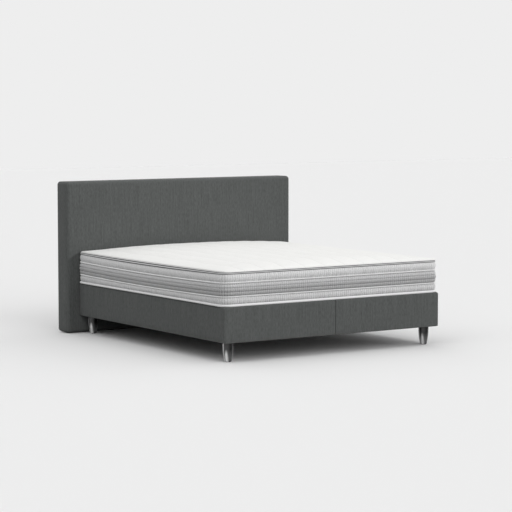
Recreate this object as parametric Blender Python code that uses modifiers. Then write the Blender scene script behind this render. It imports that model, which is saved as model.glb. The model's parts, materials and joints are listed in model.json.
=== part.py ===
"""Upholstered box spring bed: two sprung boxes side by side, one mattress and a slab headboard.

Metres, +Z up. The floor is z = 0, the foot end faces -Y and the headboard stands at +Y.
The origin is the middle of the bed's footprint, on the floor.
"""
import math

import bmesh
import bpy
from mathutils import Matrix

# Overall sizes
bed_width = 1.80
base_length = 2.00
box_height = 0.245
leg_height = 0.13
headboard_overhang = 0.10
headboard_height = 1.125
headboard_thickness = 0.16
seat_gap = 0.0003
cut_overrun = 0.01
merge_distance = 0.00001

# Box upholstery and timber
box_seam_gap = 0.0006
fabric_thickness = 0.002
box_edge_radius = 0.015
box_edge_segments = 3
hem_width = 0.028
dust_cover_thickness = 0.001
dust_cover_inset = 0.012
side_padding_thickness = 0.008
rail_thickness = 0.022
rail_height = 0.095
slat_thickness = 0.018
slat_count = 13
slat_strip_width = 0.035
slat_gap_share = 0.45
box_spring_height = 0.100
box_pocket_size = 0.092
pocket_valley_depth = 0.006
pocket_crest_shares = (0.3, 0.7)

# Legs and feet
leg_inset = 0.075
leg_top_radius = 0.0365
leg_bottom_radius = 0.0238
leg_taper_power = 2.4
leg_profile_steps = 8
leg_shoulder = 0.002
stud_radius = 0.004
stud_length = 0.030
stud_clearance = 0.0004
leg_glide_thickness = 0.003
leg_glide_radius = 0.017
leg_block_width = 0.085
leg_block_height = 0.035
turned_steps = 24
support_flange_radius = 0.045
support_flange_thickness = 0.006
support_stem_radius = 0.021
support_pad_radius = 0.028
support_pad_thickness = 0.012
support_from_foot = 1.12
support_from_head = 0.20
coupling_plate_width = 0.16
coupling_plate_length = 0.06
coupling_plate_thickness = 0.003
coupling_from_foot = 0.09
screw_head_radius = 0.006
screw_head_height = 0.003
screw_inset = 0.016

# Mattress
mattress_inset = 0.010
mattress_foot_radius = 0.060
mattress_head_radius = 0.030
border_thickness = 0.010
border_height = 0.1857
lower_channel_height = 0.046
upper_channel_height = 0.0465
channel_bulge = 0.005
middle_channel_bulge = 0.008
seam_depth = 0.003
channel_steps = 4
binding_height = 0.022
binding_bulge = 0.006
tape_height = 0.020
tape_bulge = 0.003
trim_steps = 4
foot_corner_steps = 6
head_corner_steps = 3
bottom_panel_thickness = 0.006
comfort_foam_thickness = 0.040
felt_thickness = 0.003
edge_foam_width = 0.070
mattress_pocket_size = 0.082
panel_rim = 0.0045
panel_roll = 0.006
panel_roll_width = 0.035
panel_crown = 0.0305
panel_crown_power = 2.8
panel_end_width = 0.10
panel_middle_rise = 0.010
quilt_count = 11
quilt_depth = 0.004
quilt_wave = 0.014
quilt_wave_length = 0.50
quilt_fade = 0.20
seam_fade = 0.06
corner_line_shares = (0.3, 0.65)
seam_match_share = 0.01

# Headboard
headboard_glide_thickness = 0.0047
headboard_glide_radius = 0.020
headboard_glide_inset = 0.12
headboard_edge_radius = 0.025
headboard_edge_segments = 4
headboard_hem = 0.045
headboard_foam_thickness = 0.025
front_board_thickness = 0.012
back_board_thickness = 0.003
back_board_inset = 0.035
post_width = 0.045
headboard_rail_height = 0.070
bracket_width = 0.050
bracket_thickness = 0.004
bracket_reach = 0.090
bracket_drop = 0.085
bracket_offset = 0.45
bolt_head_radius = 0.008
bolt_head_height = 0.0055
bolt_sides = 6
bolt_spacing = 0.040

# Places worked out from the sizes
headboard_width = bed_width + 2 * headboard_overhang
headboard_depth = base_length + seat_gap + headboard_thickness
foot_y = -headboard_depth / 2
head_y = foot_y + base_length
headboard_front_y = head_y + seat_gap
headboard_back_y = headboard_front_y + headboard_thickness
base_top_z = leg_height + box_height
dust_cover_z = leg_height + seat_gap
cover_z = dust_cover_z + dust_cover_thickness + seat_gap
rail_z = cover_z + fabric_thickness + seat_gap
slat_z = rail_z + rail_height + seat_gap
box_spring_z = slat_z + slat_thickness + seat_gap
box_foam_z = box_spring_z + box_spring_height + seat_gap
box_foam_top_z = base_top_z - fabric_thickness - seat_gap
frame_inset = fabric_thickness + side_padding_thickness + 2 * seat_gap
mattress_z = base_top_z + seat_gap
border_z = mattress_z + binding_height
tape_z = border_z + border_height
panel_z = tape_z + tape_height + seat_gap
mattress_half_width = bed_width / 2
mattress_foot_y = foot_y + mattress_inset
mattress_head_y = head_y - mattress_inset
headboard_z = headboard_glide_thickness + seat_gap


def remove_everything():
    """Empty the scene, so the bed is built alone."""
    for old in list(bpy.data.objects):
        bpy.data.objects.remove(old, do_unlink=True)


def new_collection(name):
    """Make a collection under the scene's own."""
    made = bpy.data.collections.new(name)
    bpy.context.scene.collection.children.link(made)
    return made


def new_material(name, colour, roughness, metallic=0.0):
    """Make a Principled material from a linear colour, roughness and metallic value."""
    made = bpy.data.materials.new(name)
    made.use_nodes = True
    shader = made.node_tree.nodes["Principled BSDF"]
    shader.inputs["Base Color"].default_value = (*colour, 1.0)
    shader.inputs["Roughness"].default_value = roughness
    shader.inputs["Metallic"].default_value = metallic
    made.diffuse_color = (*colour, 1.0)
    return made


remove_everything()
bed = new_collection("box_spring_bed")
guides = new_collection("guides")
bed_frame = bpy.data.objects.new("bed_frame", None)
mattress_frame = bpy.data.objects.new("mattress_frame", None)
bed.objects.link(bed_frame)
bed.objects.link(mattress_frame)
mattress_frame.parent = bed_frame

charcoal_fabric = new_material("charcoal_fabric", (0.095, 0.100, 0.098), 0.95)
white_knit = new_material("white_knit", (0.82, 0.82, 0.81), 0.90)
border_knit = new_material("border_knit", (0.50, 0.50, 0.51), 0.90)
tape_weave = new_material("tape_weave", (0.20, 0.20, 0.21), 0.85)
white_binding = new_material("white_binding", (0.72, 0.72, 0.72), 0.80)
felt = new_material("felt", (0.35, 0.34, 0.33), 1.00)
foam = new_material("foam", (0.78, 0.76, 0.66), 0.90)
pocket_cloth = new_material("pocket_cloth", (0.75, 0.76, 0.78), 0.85)
black_cloth = new_material("black_cloth", (0.020, 0.020, 0.021), 0.95)
pine = new_material("pine", (0.58, 0.40, 0.22), 0.65)
fibreboard = new_material("fibreboard", (0.30, 0.20, 0.12), 0.80)
polished_nickel = new_material("polished_nickel", (0.66, 0.65, 0.63), 0.12, 1.0)
black_plastic = new_material("black_plastic", (0.025, 0.025, 0.026), 0.45)
zinc_steel = new_material("zinc_steel", (0.55, 0.56, 0.57), 0.35, 1.0)


def keep(obj, material, parent=bed_frame):
    """Put a finished piece in the bed's collection, with its material and its parent."""
    if not obj.data.materials:
        obj.data.materials.append(material)
    if obj.name not in bed.objects:
        bed.objects.link(obj)
    obj.parent = parent
    return obj


def as_guide(obj):
    """Mark a cutter or a profile, which isn't a piece of the bed."""
    guides.objects.link(obj)
    obj.hide_render = True
    obj.display_type = "WIRE"
    return obj


def cube_mesh(name, size):
    """A cube primitive stretched to size, centred on its own origin."""
    bm = bmesh.new()
    bmesh.ops.create_cube(bm, size=1.0)
    bmesh.ops.transform(bm, matrix=Matrix.Diagonal((*size, 1.0)), verts=bm.verts)
    mesh = bpy.data.meshes.new(name)
    bm.to_mesh(mesh)
    bm.free()
    return mesh


def block(name, low, high, material, parent=bed_frame):
    """A rectangular piece between two corners, placed by its middle."""
    size = [b - a for a, b in zip(low, high)]
    obj = bpy.data.objects.new(name, cube_mesh(name, size))
    obj.location = [(a + b) / 2 for a, b in zip(low, high)]
    return keep(obj, material, parent)


def rounded_outline(low, high, foot_radius, head_radius, foot_steps, head_steps):
    """Corner points of a rectangle whose corners are arcs, counter-clockwise from the foot's right."""
    x0, y0 = low
    x1, y1 = high
    corners = (
        (x1 - foot_radius, y0 + foot_radius, foot_radius, foot_steps, -90),
        (x1 - head_radius, y1 - head_radius, head_radius, head_steps, 0),
        (x0 + head_radius, y1 - head_radius, head_radius, head_steps, 90),
        (x0 + foot_radius, y0 + foot_radius, foot_radius, foot_steps, 180),
    )
    points = []
    for cx, cy, radius, steps, start in corners:
        for i in range(steps + 1):
            turn = math.radians(start + 90 * i / steps)
            points.append((cx + radius * math.cos(turn), cy + radius * math.sin(turn)))
    return points


def rectangle(low, high):
    """The four corners of a rectangle, counter-clockwise."""
    return [(low[0], low[1]), (high[0], low[1]), (high[0], high[1]), (low[0], high[1])]


def circle(centre, radius, sides):
    """Points round a circle, counter-clockwise."""
    turns = [2 * math.pi * i / sides for i in range(sides)]
    return [(centre[0] + radius * math.cos(t), centre[1] + radius * math.sin(t)) for t in turns]


def scalloped_outline(low, high, pocket_size):
    """The outline of a block of spring pockets: a shallow valley between each two pockets."""
    points = []
    corners = rectangle(low, high)
    for (ax, ay), (bx, by) in zip(corners, corners[1:] + corners[:1]):
        length = math.hypot(bx - ax, by - ay)
        along = ((bx - ax) / length, (by - ay) / length)
        inward = (-along[1], along[0])
        count = max(1, round(length / pocket_size))
        points.append((ax + pocket_valley_depth * (along[0] + inward[0]),
                       ay + pocket_valley_depth * (along[1] + inward[1])))
        for i in range(count):
            for share in pocket_crest_shares:
                d = length * (i + share) / count
                points.append((ax + along[0] * d, ay + along[1] * d))
            if i < count - 1:
                d = length * (i + 1) / count
                points.append((ax + along[0] * d + inward[0] * pocket_valley_depth,
                               ay + along[1] * d + inward[1] * pocket_valley_depth))
    return points


def flat_curve(name, outlines, thickness):
    """A 2D curve filled on both sides, whose later outlines are holes in the first."""
    data = bpy.data.curves.new(name, "CURVE")
    data.dimensions = "2D"
    data.fill_mode = "BOTH"
    data.extrude = thickness / 2
    for points in outlines:
        spline = data.splines.new("POLY")
        spline.points.add(len(points) - 1)
        for point, (x, y) in zip(spline.points, points):
            point.co = (x, y, 0.0, 1.0)
        spline.use_cyclic_u = True
    return data


def sheet(name, outlines, z0, z1, material, parent=bed_frame):
    """A level piece cut to an outline, from z0 up to z1."""
    obj = bpy.data.objects.new(name, flat_curve(name, outlines, z1 - z0))
    obj.location.z = (z0 + z1) / 2
    return keep(obj, material, parent)


def as_mesh_object(obj, collection):
    """Turn a curve or a piece with modifiers into a plain welded mesh object of the same name."""
    bpy.context.view_layer.update()
    evaluated = obj.evaluated_get(bpy.context.evaluated_depsgraph_get())
    mesh = bpy.data.meshes.new_from_object(evaluated)
    name = obj.name
    placed = obj.matrix_world.copy()
    bpy.data.objects.remove(obj, do_unlink=True)
    bm = bmesh.new()
    bm.from_mesh(mesh)
    bmesh.ops.remove_doubles(bm, verts=bm.verts, dist=merge_distance)
    bm.to_mesh(mesh)
    bm.free()
    made = bpy.data.objects.new(name, mesh)
    made.matrix_world = placed
    collection.objects.link(made)
    return made


def add_boolean(obj, cutter, operation):
    """Join or cut an object with a guide object."""
    step = obj.modifiers.new(operation.lower(), "BOOLEAN")
    step.operation = operation
    step.solver = "EXACT"
    step.object = cutter


def turned(name, profile, place, material, parent=bed_frame):
    """A turned piece: a profile of (radius, height) points, top to bottom, spun about Z."""
    mesh = bpy.data.meshes.new(name)
    points = [(r, 0.0, z) for r, z in profile]
    mesh.from_pydata(points, [(i, i + 1) for i in range(len(points) - 1)], [])
    obj = bpy.data.objects.new(name, mesh)
    obj.location = place
    spin = obj.modifiers.new("spin", "SCREW")
    spin.steps = turned_steps
    spin.render_steps = turned_steps
    spin.use_merge_vertices = True
    spin.merge_threshold = merge_distance
    spin.use_smooth_shade = True
    return keep(obj, material, parent)


def cut_hem(bm, normal, hem):
    """Leave a hem of the flat side that faces along normal, and take out the rest."""
    face = max(bm.faces, key=lambda f: f.normal.dot(normal) * f.calc_area())
    bmesh.ops.inset_region(bm, faces=[face], thickness=hem, use_even_offset=True)
    bmesh.ops.delete(bm, geom=[face], context="FACES_ONLY")


def rounded_box(name, size, radius, segments, sharp_bottom=False, hem_normal=None, hem=0.0):
    """A cube primitive with rounded edges, which is open within a hem on one side where hem_normal is given.

    Its bottom edges stay sharp where it stands on a frame.
    """
    bm = bmesh.new()
    bmesh.ops.create_cube(bm, size=1.0)
    bmesh.ops.transform(bm, matrix=Matrix.Diagonal((*size, 1.0)), verts=bm.verts)
    bm.normal_update()
    edges = [e for e in bm.edges if not sharp_bottom or any(v.co.z > 0 for v in e.verts)]
    if hem_normal and sharp_bottom:
        cut_hem(bm, hem_normal, hem)
        edges = [e for e in bm.edges if any(v.co.z > 0 for v in e.verts)]
    bmesh.ops.bevel(bm, geom=edges, offset=radius, offset_type="OFFSET",
                    segments=segments, profile=0.5, affect="EDGES")
    if hem_normal and not sharp_bottom:
        bm.normal_update()
        cut_hem(bm, hem_normal, hem)
    mesh = bpy.data.meshes.new(name)
    bm.to_mesh(mesh)
    bm.free()
    return mesh


def add_wall(obj, thickness):
    """Give an open cover its cloth thickness, inwards."""
    wall = obj.modifiers.new("wall", "SOLIDIFY")
    wall.thickness = thickness
    wall.offset = -1.0
    wall.use_even_offset = True


def box_span(side, inset):
    """The x range of one box, drawn in by inset: side is -1 for the left box and 1 for the right."""
    near = side * (box_seam_gap / 2 + inset)
    far = side * (bed_width / 2 - inset)
    return min(near, far), max(near, far)


def box_corners(side, inset):
    """Two opposite corners of one box's outline, drawn in by inset."""
    x0, x1 = box_span(side, inset)
    return (x0, foot_y + inset), (x1, head_y - inset)


def make_box_cover(side, word):
    """The fabric cover of a box: top and sides in one, turned under by a hem."""
    low, high = box_corners(side, 0.0)
    size = (high[0] - low[0], high[1] - low[1], base_top_z - cover_z)
    mesh = rounded_box("box_cover_" + word, size, box_edge_radius, box_edge_segments, True,
                       (0, 0, -1), hem_width)
    mesh.shade_smooth()
    mesh.set_sharp_from_angle(angle=math.radians(40))
    obj = bpy.data.objects.new("box_cover_" + word, mesh)
    obj.location = ((low[0] + high[0]) / 2, (low[1] + high[1]) / 2, (cover_z + base_top_z) / 2)
    add_wall(obj, fabric_thickness)
    keep(obj, charcoal_fabric)


def make_dust_cover(side, word):
    """The black cloth under a box, with a hole for the stud of each leg."""
    low, high = box_corners(side, dust_cover_inset)
    holes = [circle(place, stud_radius + stud_clearance, turned_steps // 2)
             for place in leg_places(side)]
    sheet("box_dust_cover_" + word, [rectangle(low, high)] + holes,
          dust_cover_z, dust_cover_z + dust_cover_thickness, black_cloth)


def make_side_padding(side, word):
    """The thin foam wrapped round the frame and the springs."""
    inset = fabric_thickness + seat_gap
    radius = box_edge_radius - fabric_thickness
    low, high = box_corners(side, inset)
    outer = rounded_outline(low, high, radius, radius, box_edge_segments, box_edge_segments)
    low, high = box_corners(side, inset + side_padding_thickness)
    sheet("box_side_padding_" + word, [outer, rectangle(low, high)],
          rail_z, box_foam_z - seat_gap, foam)


def make_box_rails(side, word):
    """The pine frame: two long rails, with the foot and head rails between them."""
    low, high = box_corners(side, frame_inset)
    top = rail_z + rail_height
    outer_is_low = side < 0
    left_word = "outer" if outer_is_low else "inner"
    right_word = "inner" if outer_is_low else "outer"
    block("box_" + left_word + "_rail_" + word, (low[0], low[1], rail_z),
          (low[0] + rail_thickness, high[1], top), pine)
    block("box_" + right_word + "_rail_" + word, (high[0] - rail_thickness, low[1], rail_z),
          (high[0], high[1], top), pine)
    between = (low[0] + rail_thickness + seat_gap, high[0] - rail_thickness - seat_gap)
    block("box_foot_rail_" + word, (between[0], low[1], rail_z),
          (between[1], low[1] + rail_thickness, top), pine)
    block("box_head_rail_" + word, (between[0], high[1] - rail_thickness, rail_z),
          (between[1], high[1], top), pine)


def make_slat_deck(side, word):
    """Slats on two edge strips, which lie on the rails and carry the springs."""
    low, high = box_corners(side, frame_inset)
    pitch = (high[1] - low[1] - slat_strip_width) / slat_count
    gap_length = pitch * slat_gap_share
    holes = []
    for i in range(slat_count):
        y0 = low[1] + slat_strip_width + i * pitch
        holes.append(rectangle((low[0] + slat_strip_width, y0),
                               (high[0] - slat_strip_width, y0 + gap_length)))
    sheet("box_slat_deck_" + word, [rectangle(low, high)] + holes,
          slat_z, slat_z + slat_thickness, pine)


def make_box_springs(side, word):
    """The block of pocketed springs on the slats."""
    low, high = box_corners(side, frame_inset)
    sheet("box_spring_core_" + word, [scalloped_outline(low, high, box_pocket_size)],
          box_spring_z, box_spring_z + box_spring_height, pocket_cloth)


def make_box_foam(side, word):
    """The top pad, which fills the cover's rounded upper edge."""
    low, high = box_corners(side, fabric_thickness + seat_gap)
    size = (high[0] - low[0], high[1] - low[1], box_foam_top_z - box_foam_z)
    radius = box_edge_radius - fabric_thickness
    mesh = rounded_box("box_top_foam_" + word, size, radius, box_edge_segments, True)
    obj = bpy.data.objects.new("box_top_foam_" + word, mesh)
    obj.location = ((low[0] + high[0]) / 2, (low[1] + high[1]) / 2, (box_foam_z + box_foam_top_z) / 2)
    keep(obj, foam)


def leg_places(side):
    """The axes of one box's two legs, foot end first."""
    x = side * (bed_width / 2 - leg_inset)
    return [(x, foot_y + leg_inset), (x, head_y - leg_inset)]


def leg_profile():
    """Stud, shoulder and a taper that narrows ever faster towards the floor."""
    foot = leg_glide_thickness + seat_gap
    top = leg_height
    profile = [(0.0, top + stud_length), (stud_radius, top + stud_length), (stud_radius, top),
               (leg_top_radius - leg_shoulder, top), (leg_top_radius, top - leg_shoulder)]
    for i in range(1, leg_profile_steps + 1):
        share = 1 - i / leg_profile_steps
        radius = leg_bottom_radius + (leg_top_radius - leg_bottom_radius) * (1 - (1 - share) ** leg_taper_power)
        profile.append((radius, foot + (top - leg_shoulder - foot) * share))
    profile.append((0.0, foot))
    return profile


def make_leg(place, word):
    """A turned metal leg, its floor glide and the corner block that takes its stud."""
    turned("leg_" + word, leg_profile(), (place[0], place[1], 0.0), polished_nickel)
    glide = [(0.0, leg_glide_thickness), (leg_glide_radius, leg_glide_thickness),
             (leg_glide_radius, 0.0), (0.0, 0.0)]
    turned("leg_glide_" + word, glide, (place[0], place[1], 0.0), black_plastic)
    inner = frame_inset + rail_thickness + seat_gap
    start_x = bed_width / 2 - inner
    x0 = start_x - leg_block_width if place[0] > 0 else -start_x
    y0 = foot_y + inner if place[1] < 0 else head_y - inner - leg_block_width
    outline = rectangle((x0, y0), (x0 + leg_block_width, y0 + leg_block_width))
    bore = circle(place, stud_radius + stud_clearance, turned_steps // 2)
    block_z = dust_cover_z + dust_cover_thickness + seat_gap
    sheet("leg_block_" + word, [outline, bore], block_z, block_z + leg_block_height, pine)


def make_support_foot(y, word):
    """A plain foot under the seam, whose flange is screwed to both boxes."""
    profile = [(0.0, leg_height), (support_flange_radius, leg_height),
               (support_flange_radius, leg_height - support_flange_thickness),
               (support_stem_radius, leg_height - support_flange_thickness),
               (support_stem_radius, support_pad_thickness),
               (support_pad_radius, support_pad_thickness),
               (support_pad_radius, 0.0), (0.0, 0.0)]
    turned("support_foot_" + word, profile, (0.0, y, 0.0), black_plastic)


def peg_guide(name, place, axis, radius, length, sides):
    """A short peg for a screw or bolt head, centred on place and pointing along axis."""
    bm = bmesh.new()
    bmesh.ops.create_cone(bm, cap_ends=True, segments=sides, radius1=radius, radius2=radius, depth=length)
    mesh = bpy.data.meshes.new(name)
    bm.to_mesh(mesh)
    bm.free()
    obj = bpy.data.objects.new(name, mesh)
    obj.location = place
    if axis == "Y":
        obj.rotation_euler.x = math.radians(90)
    return as_guide(obj)


def make_coupling_plate():
    """The steel plate across the seam at the foot end, with the heads of its screws."""
    middle_y = foot_y + coupling_from_foot
    top = leg_height
    low = (-coupling_plate_width / 2, middle_y - coupling_plate_length / 2, top - coupling_plate_thickness)
    high = (coupling_plate_width / 2, middle_y + coupling_plate_length / 2, top)
    plate = block("coupling_plate", low, high, zinc_steel)
    for i in (-1, 1):
        for j in (-1, 1):
            x = i * (coupling_plate_width / 2 - screw_inset)
            y = middle_y + j * (coupling_plate_length / 2 - screw_inset)
            z = low[2]
            head = peg_guide("plate_screw_guide", (x, y, z), "Z", screw_head_radius,
                             screw_head_height, turned_steps // 2)
            add_boolean(plate, head, "UNION")


def make_bracket(side, word):
    """A steel angle: one flange under the box, one against the headboard, with its bolt heads."""
    face_y = headboard_front_y - seat_gap
    top = leg_height
    outline = [(face_y, top), (face_y - bracket_reach, top), (face_y - bracket_reach, top - bracket_thickness),
               (face_y - bracket_thickness, top - bracket_thickness),
               (face_y - bracket_thickness, top - bracket_drop), (face_y, top - bracket_drop)]
    name = "headboard_" + word + "_bracket"
    curve = bpy.data.objects.new(name, flat_curve(name, [outline], bracket_width))
    guides.objects.link(curve)
    curve.matrix_world = Matrix(((0, 0, 1, side * bracket_offset), (1, 0, 0, 0), (0, 1, 0, 0), (0, 0, 0, 1)))
    bracket = as_mesh_object(curve, bed)
    for i in (-1, 1):
        x = side * bracket_offset
        z = top - (bracket_drop + bracket_thickness) / 2 + i * bolt_spacing / 2
        y = face_y - bracket_thickness
        head = peg_guide("bracket_bolt_guide", (x, y, z), "Y", bolt_head_radius, bolt_head_height, bolt_sides)
        add_boolean(bracket, head, "UNION")
        y = face_y - (bracket_reach + bracket_thickness) / 2 + i * bolt_spacing / 2
        z = top - bracket_thickness
        head = peg_guide("bracket_screw_guide", (x, y, z), "Z", screw_head_radius, screw_head_height,
                         turned_steps // 2)
        add_boolean(bracket, head, "UNION")
    keep(bracket, zinc_steel)


def swept_ring(name, inset, profile, material):
    """A closed profile of (outward, upward) points, clockwise, carried round the mattress at an inset."""
    low = (-mattress_half_width + inset, mattress_foot_y + inset)
    high = (mattress_half_width - inset, mattress_head_y - inset)
    path = rounded_outline(low, high, mattress_foot_radius - inset, mattress_head_radius - inset,
                           foot_corner_steps, head_corner_steps)
    section = bpy.data.curves.new(name + "_section", "CURVE")
    section.dimensions = "2D"
    spline = section.splines.new("POLY")
    spline.points.add(len(profile) - 1)
    for point, (out, up) in zip(spline.points, profile):
        point.co = (out, up, 0.0, 1.0)
    spline.use_cyclic_u = True
    section_guide = as_guide(bpy.data.objects.new(name + "_section", section))
    data = bpy.data.curves.new(name, "CURVE")
    data.dimensions = "3D"
    data.twist_mode = "Z_UP"
    data.bevel_mode = "OBJECT"
    data.bevel_object = section_guide
    spline = data.splines.new("POLY")
    spline.points.add(len(path) - 1)
    for point, (x, y) in zip(spline.points, path):
        point.co = (x, y, 0.0, 1.0)
    spline.use_cyclic_u = True
    obj = bpy.data.objects.new(name, data)
    return keep(obj, material, mattress_frame)


def puffed_edge(z0, z1, bulge, steps, first_depth, last_depth):
    """Points up one puffed channel: half a sine between its two seams, which may lie deeper."""
    points = []
    for i in range(steps + 1):
        share = i / steps
        depth = first_depth * (1 - share) + last_depth * share
        points.append((bulge * math.sin(math.pi * share) - depth * abs(2 * share - 1) ** 3,
                       z0 + (z1 - z0) * share))
    return points


def make_border():
    """The side border: three puffed channels between two sewn seams."""
    z1 = border_z + lower_channel_height
    z2 = tape_z - seat_gap - upper_channel_height
    bottom = border_z + seat_gap
    top = tape_z - seat_gap
    outer = puffed_edge(bottom, z1, channel_bulge, channel_steps, 0.0, seam_depth)
    outer += puffed_edge(z1, z2, middle_channel_bulge, channel_steps, seam_depth, seam_depth)[1:]
    outer += puffed_edge(z2, top, channel_bulge, channel_steps, seam_depth, 0.0)[1:]
    profile = [(border_thickness + out, z) for out, z in reversed(outer)] + [(0.0, bottom), (0.0, top)]
    swept_ring("mattress_border", border_thickness, profile, border_knit)


def trim_profile(z0, z1, thickness, bulge):
    """A flat-backed strip with a rounded outer face."""
    outer = [(thickness + bulge * math.sin(math.pi * i / trim_steps), z0 + (z1 - z0) * i / trim_steps)
             for i in range(trim_steps + 1)]
    return outer[::-1] + [(0.0, z0), (0.0, z1)]


def make_mattress_trims():
    """The edge tape above the border and the round binding below it."""
    swept_ring("mattress_top_tape", border_thickness,
               trim_profile(tape_z, tape_z + tape_height, border_thickness, tape_bulge), tape_weave)
    swept_ring("mattress_bottom_binding", border_thickness,
               trim_profile(mattress_z, border_z, border_thickness, binding_bulge), white_binding)


def core_outline(inset):
    """The mattress outline drawn in by inset, with its rounded corners."""
    low = (-mattress_half_width + inset, mattress_foot_y + inset)
    high = (mattress_half_width - inset, mattress_head_y - inset)
    foot = max(mattress_foot_radius - inset, merge_distance)
    head = max(mattress_head_radius - inset, merge_distance)
    return rounded_outline(low, high, foot, head, foot_corner_steps, head_corner_steps)


def make_mattress_layers():
    """Everything inside the ticking, from the bottom panel up to the top comfort foam."""
    inside = core_outline(border_thickness + seat_gap)
    z = mattress_z
    sheet("mattress_bottom_panel", [inside], z, z + bottom_panel_thickness, white_knit, mattress_frame)
    z += bottom_panel_thickness + seat_gap
    sheet("mattress_bottom_foam", [inside], z, z + comfort_foam_thickness, foam, mattress_frame)
    z += comfort_foam_thickness + seat_gap
    sheet("mattress_bottom_felt", [inside], z, z + felt_thickness, felt, mattress_frame)
    z += felt_thickness + seat_gap
    foam_top = panel_z - seat_gap
    felt_z = foam_top - comfort_foam_thickness - seat_gap - felt_thickness
    spring_top = felt_z - seat_gap
    wall = border_thickness + seat_gap + edge_foam_width
    low = (-mattress_half_width + wall, mattress_foot_y + wall)
    high = (mattress_half_width - wall, mattress_head_y - wall)
    sheet("mattress_edge_foam", [inside, rectangle(low, high)], z, spring_top, foam, mattress_frame)
    wall += seat_gap
    low = (-mattress_half_width + wall, mattress_foot_y + wall)
    high = (mattress_half_width - wall, mattress_head_y - wall)
    sheet("mattress_spring_core", [scalloped_outline(low, high, mattress_pocket_size)],
          z, spring_top, pocket_cloth, mattress_frame)
    sheet("mattress_top_felt", [inside], felt_z, felt_z + felt_thickness, felt, mattress_frame)
    sheet("mattress_top_foam", [inside], foam_top - comfort_foam_thickness, foam_top, foam, mattress_frame)


def panel_lines(low, high, low_radius, high_radius, pitch):
    """Grid lines across the top panel: even ones at the pitch, and a few more in each corner."""
    count = round((high - low) / pitch)
    lines = [low + (high - low) * i / count for i in range(count + 1)]
    extra = [low + low_radius * share for share in corner_line_shares]
    extra += [high - high_radius * share for share in corner_line_shares]
    return sorted(lines + extra)


def quilt_shift(x, y):
    """How far the sewn lines swing sideways, none at the panel's edges."""
    reach = min(mattress_half_width - abs(x), y - mattress_foot_y, mattress_head_y - y)
    fade = min(1.0, max(0.0, reach / quilt_fade))
    return quilt_wave * fade * math.sin(2 * math.pi * y / quilt_wave_length)


def into_corner(x, y):
    """Draw a point of a square corner onto the rounded one, square rings to round rings."""
    radius = mattress_foot_radius if y < 0 else mattress_head_radius
    middle_y = (mattress_foot_y + mattress_head_y) / 2
    half_length = (mattress_head_y - mattress_foot_y) / 2
    dx = abs(x) - (mattress_half_width - radius)
    dy = abs(y - middle_y) - (half_length - radius)
    if dx <= 0 or dy <= 0:
        return x, y
    scale = max(dx, dy) / math.hypot(dx, dy)
    x = math.copysign(mattress_half_width - radius + dx * scale, x)
    y = middle_y + math.copysign(half_length - radius + dy * scale, y - middle_y)
    return x, y


def eased(reach, width):
    """0 at an edge, rising ever more gently to 1 at that width from it."""
    return 1 - (1 - min(1.0, max(0.0, reach / width))) ** 2


def panel_height(x, y, on_seam):
    """The panel rolls up from its edge and is crowned across the bed, with sunken sewn lines."""
    end_reach = min(y - mattress_foot_y, mattress_head_y - y)
    reach = min(mattress_half_width - abs(x), end_reach)
    across = abs(x) / mattress_half_width
    along = abs(2 * y - mattress_foot_y - mattress_head_y) / (mattress_head_y - mattress_foot_y)
    height = panel_rim + panel_roll * eased(reach, panel_roll_width)
    height += panel_crown * (1 - across ** panel_crown_power) * eased(end_reach, panel_end_width)
    height += panel_middle_rise * (1 - across ** 2) * (1 - along ** 2)
    return height - (quilt_depth * min(1.0, max(0.0, reach / seam_fade)) if on_seam else 0.0)


def make_top_panel():
    """The crowned, quilted top panel, on a grid whose every other column is a sewn line."""
    half_pitch = 2 * mattress_half_width / quilt_count / 2
    columns = panel_lines(-mattress_half_width, mattress_half_width,
                          mattress_foot_radius, mattress_foot_radius, half_pitch)
    rows = panel_lines(mattress_foot_y, mattress_head_y,
                       mattress_foot_radius, mattress_head_radius, half_pitch)
    bm = bmesh.new()
    bmesh.ops.create_grid(bm, x_segments=len(columns) - 1, y_segments=len(rows) - 1, size=1.0)
    reach = max(v.co.x for v in bm.verts)
    for vert in bm.verts:
        i = round((vert.co.x / reach + 1) / 2 * (len(columns) - 1))
        j = round((vert.co.y / reach + 1) / 2 * (len(rows) - 1))
        seam_number = (columns[i] + mattress_half_width) / (2 * half_pitch)
        on_seam = abs(seam_number - round(seam_number)) < seam_match_share and 0 < i < len(columns) - 1
        x, y = into_corner(columns[i], rows[j])
        z = panel_height(columns[i], rows[j], on_seam)
        vert.co = (x + quilt_shift(x, y), y, z)
    rim = [e for e in bm.edges if e.is_boundary]
    skirt = bmesh.ops.extrude_edge_only(bm, edges=rim)["geom"]
    for item in skirt:
        if isinstance(item, bmesh.types.BMVert):
            item.co.z = 0.0
    lower = [e for e in bm.edges if e.is_boundary]
    bmesh.ops.contextual_create(bm, geom=lower)
    bmesh.ops.recalc_face_normals(bm, faces=bm.faces)
    mesh = bpy.data.meshes.new("mattress_top_panel")
    bm.to_mesh(mesh)
    bm.free()
    mesh.shade_smooth()
    obj = bpy.data.objects.new("mattress_top_panel", mesh)
    obj.location.z = panel_z
    keep(obj, white_knit, mattress_frame)


def make_headboard_cover():
    """The headboard's fabric: front, edges and a hem turned onto the back."""
    cover_back_y = headboard_back_y - back_board_thickness - seat_gap
    size = (headboard_width, cover_back_y - headboard_front_y, headboard_height - headboard_z)
    mesh = rounded_box("headboard_cover", size, headboard_edge_radius, headboard_edge_segments, False,
                       (0, 1, 0), headboard_hem)
    mesh.shade_smooth()
    mesh.set_sharp_from_angle(angle=math.radians(40))
    obj = bpy.data.objects.new("headboard_cover", mesh)
    obj.location = (0.0, (headboard_front_y + cover_back_y) / 2, (headboard_z + headboard_height) / 2)
    add_wall(obj, fabric_thickness)
    keep(obj, charcoal_fabric)
    return cover_back_y - fabric_thickness - seat_gap


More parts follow.
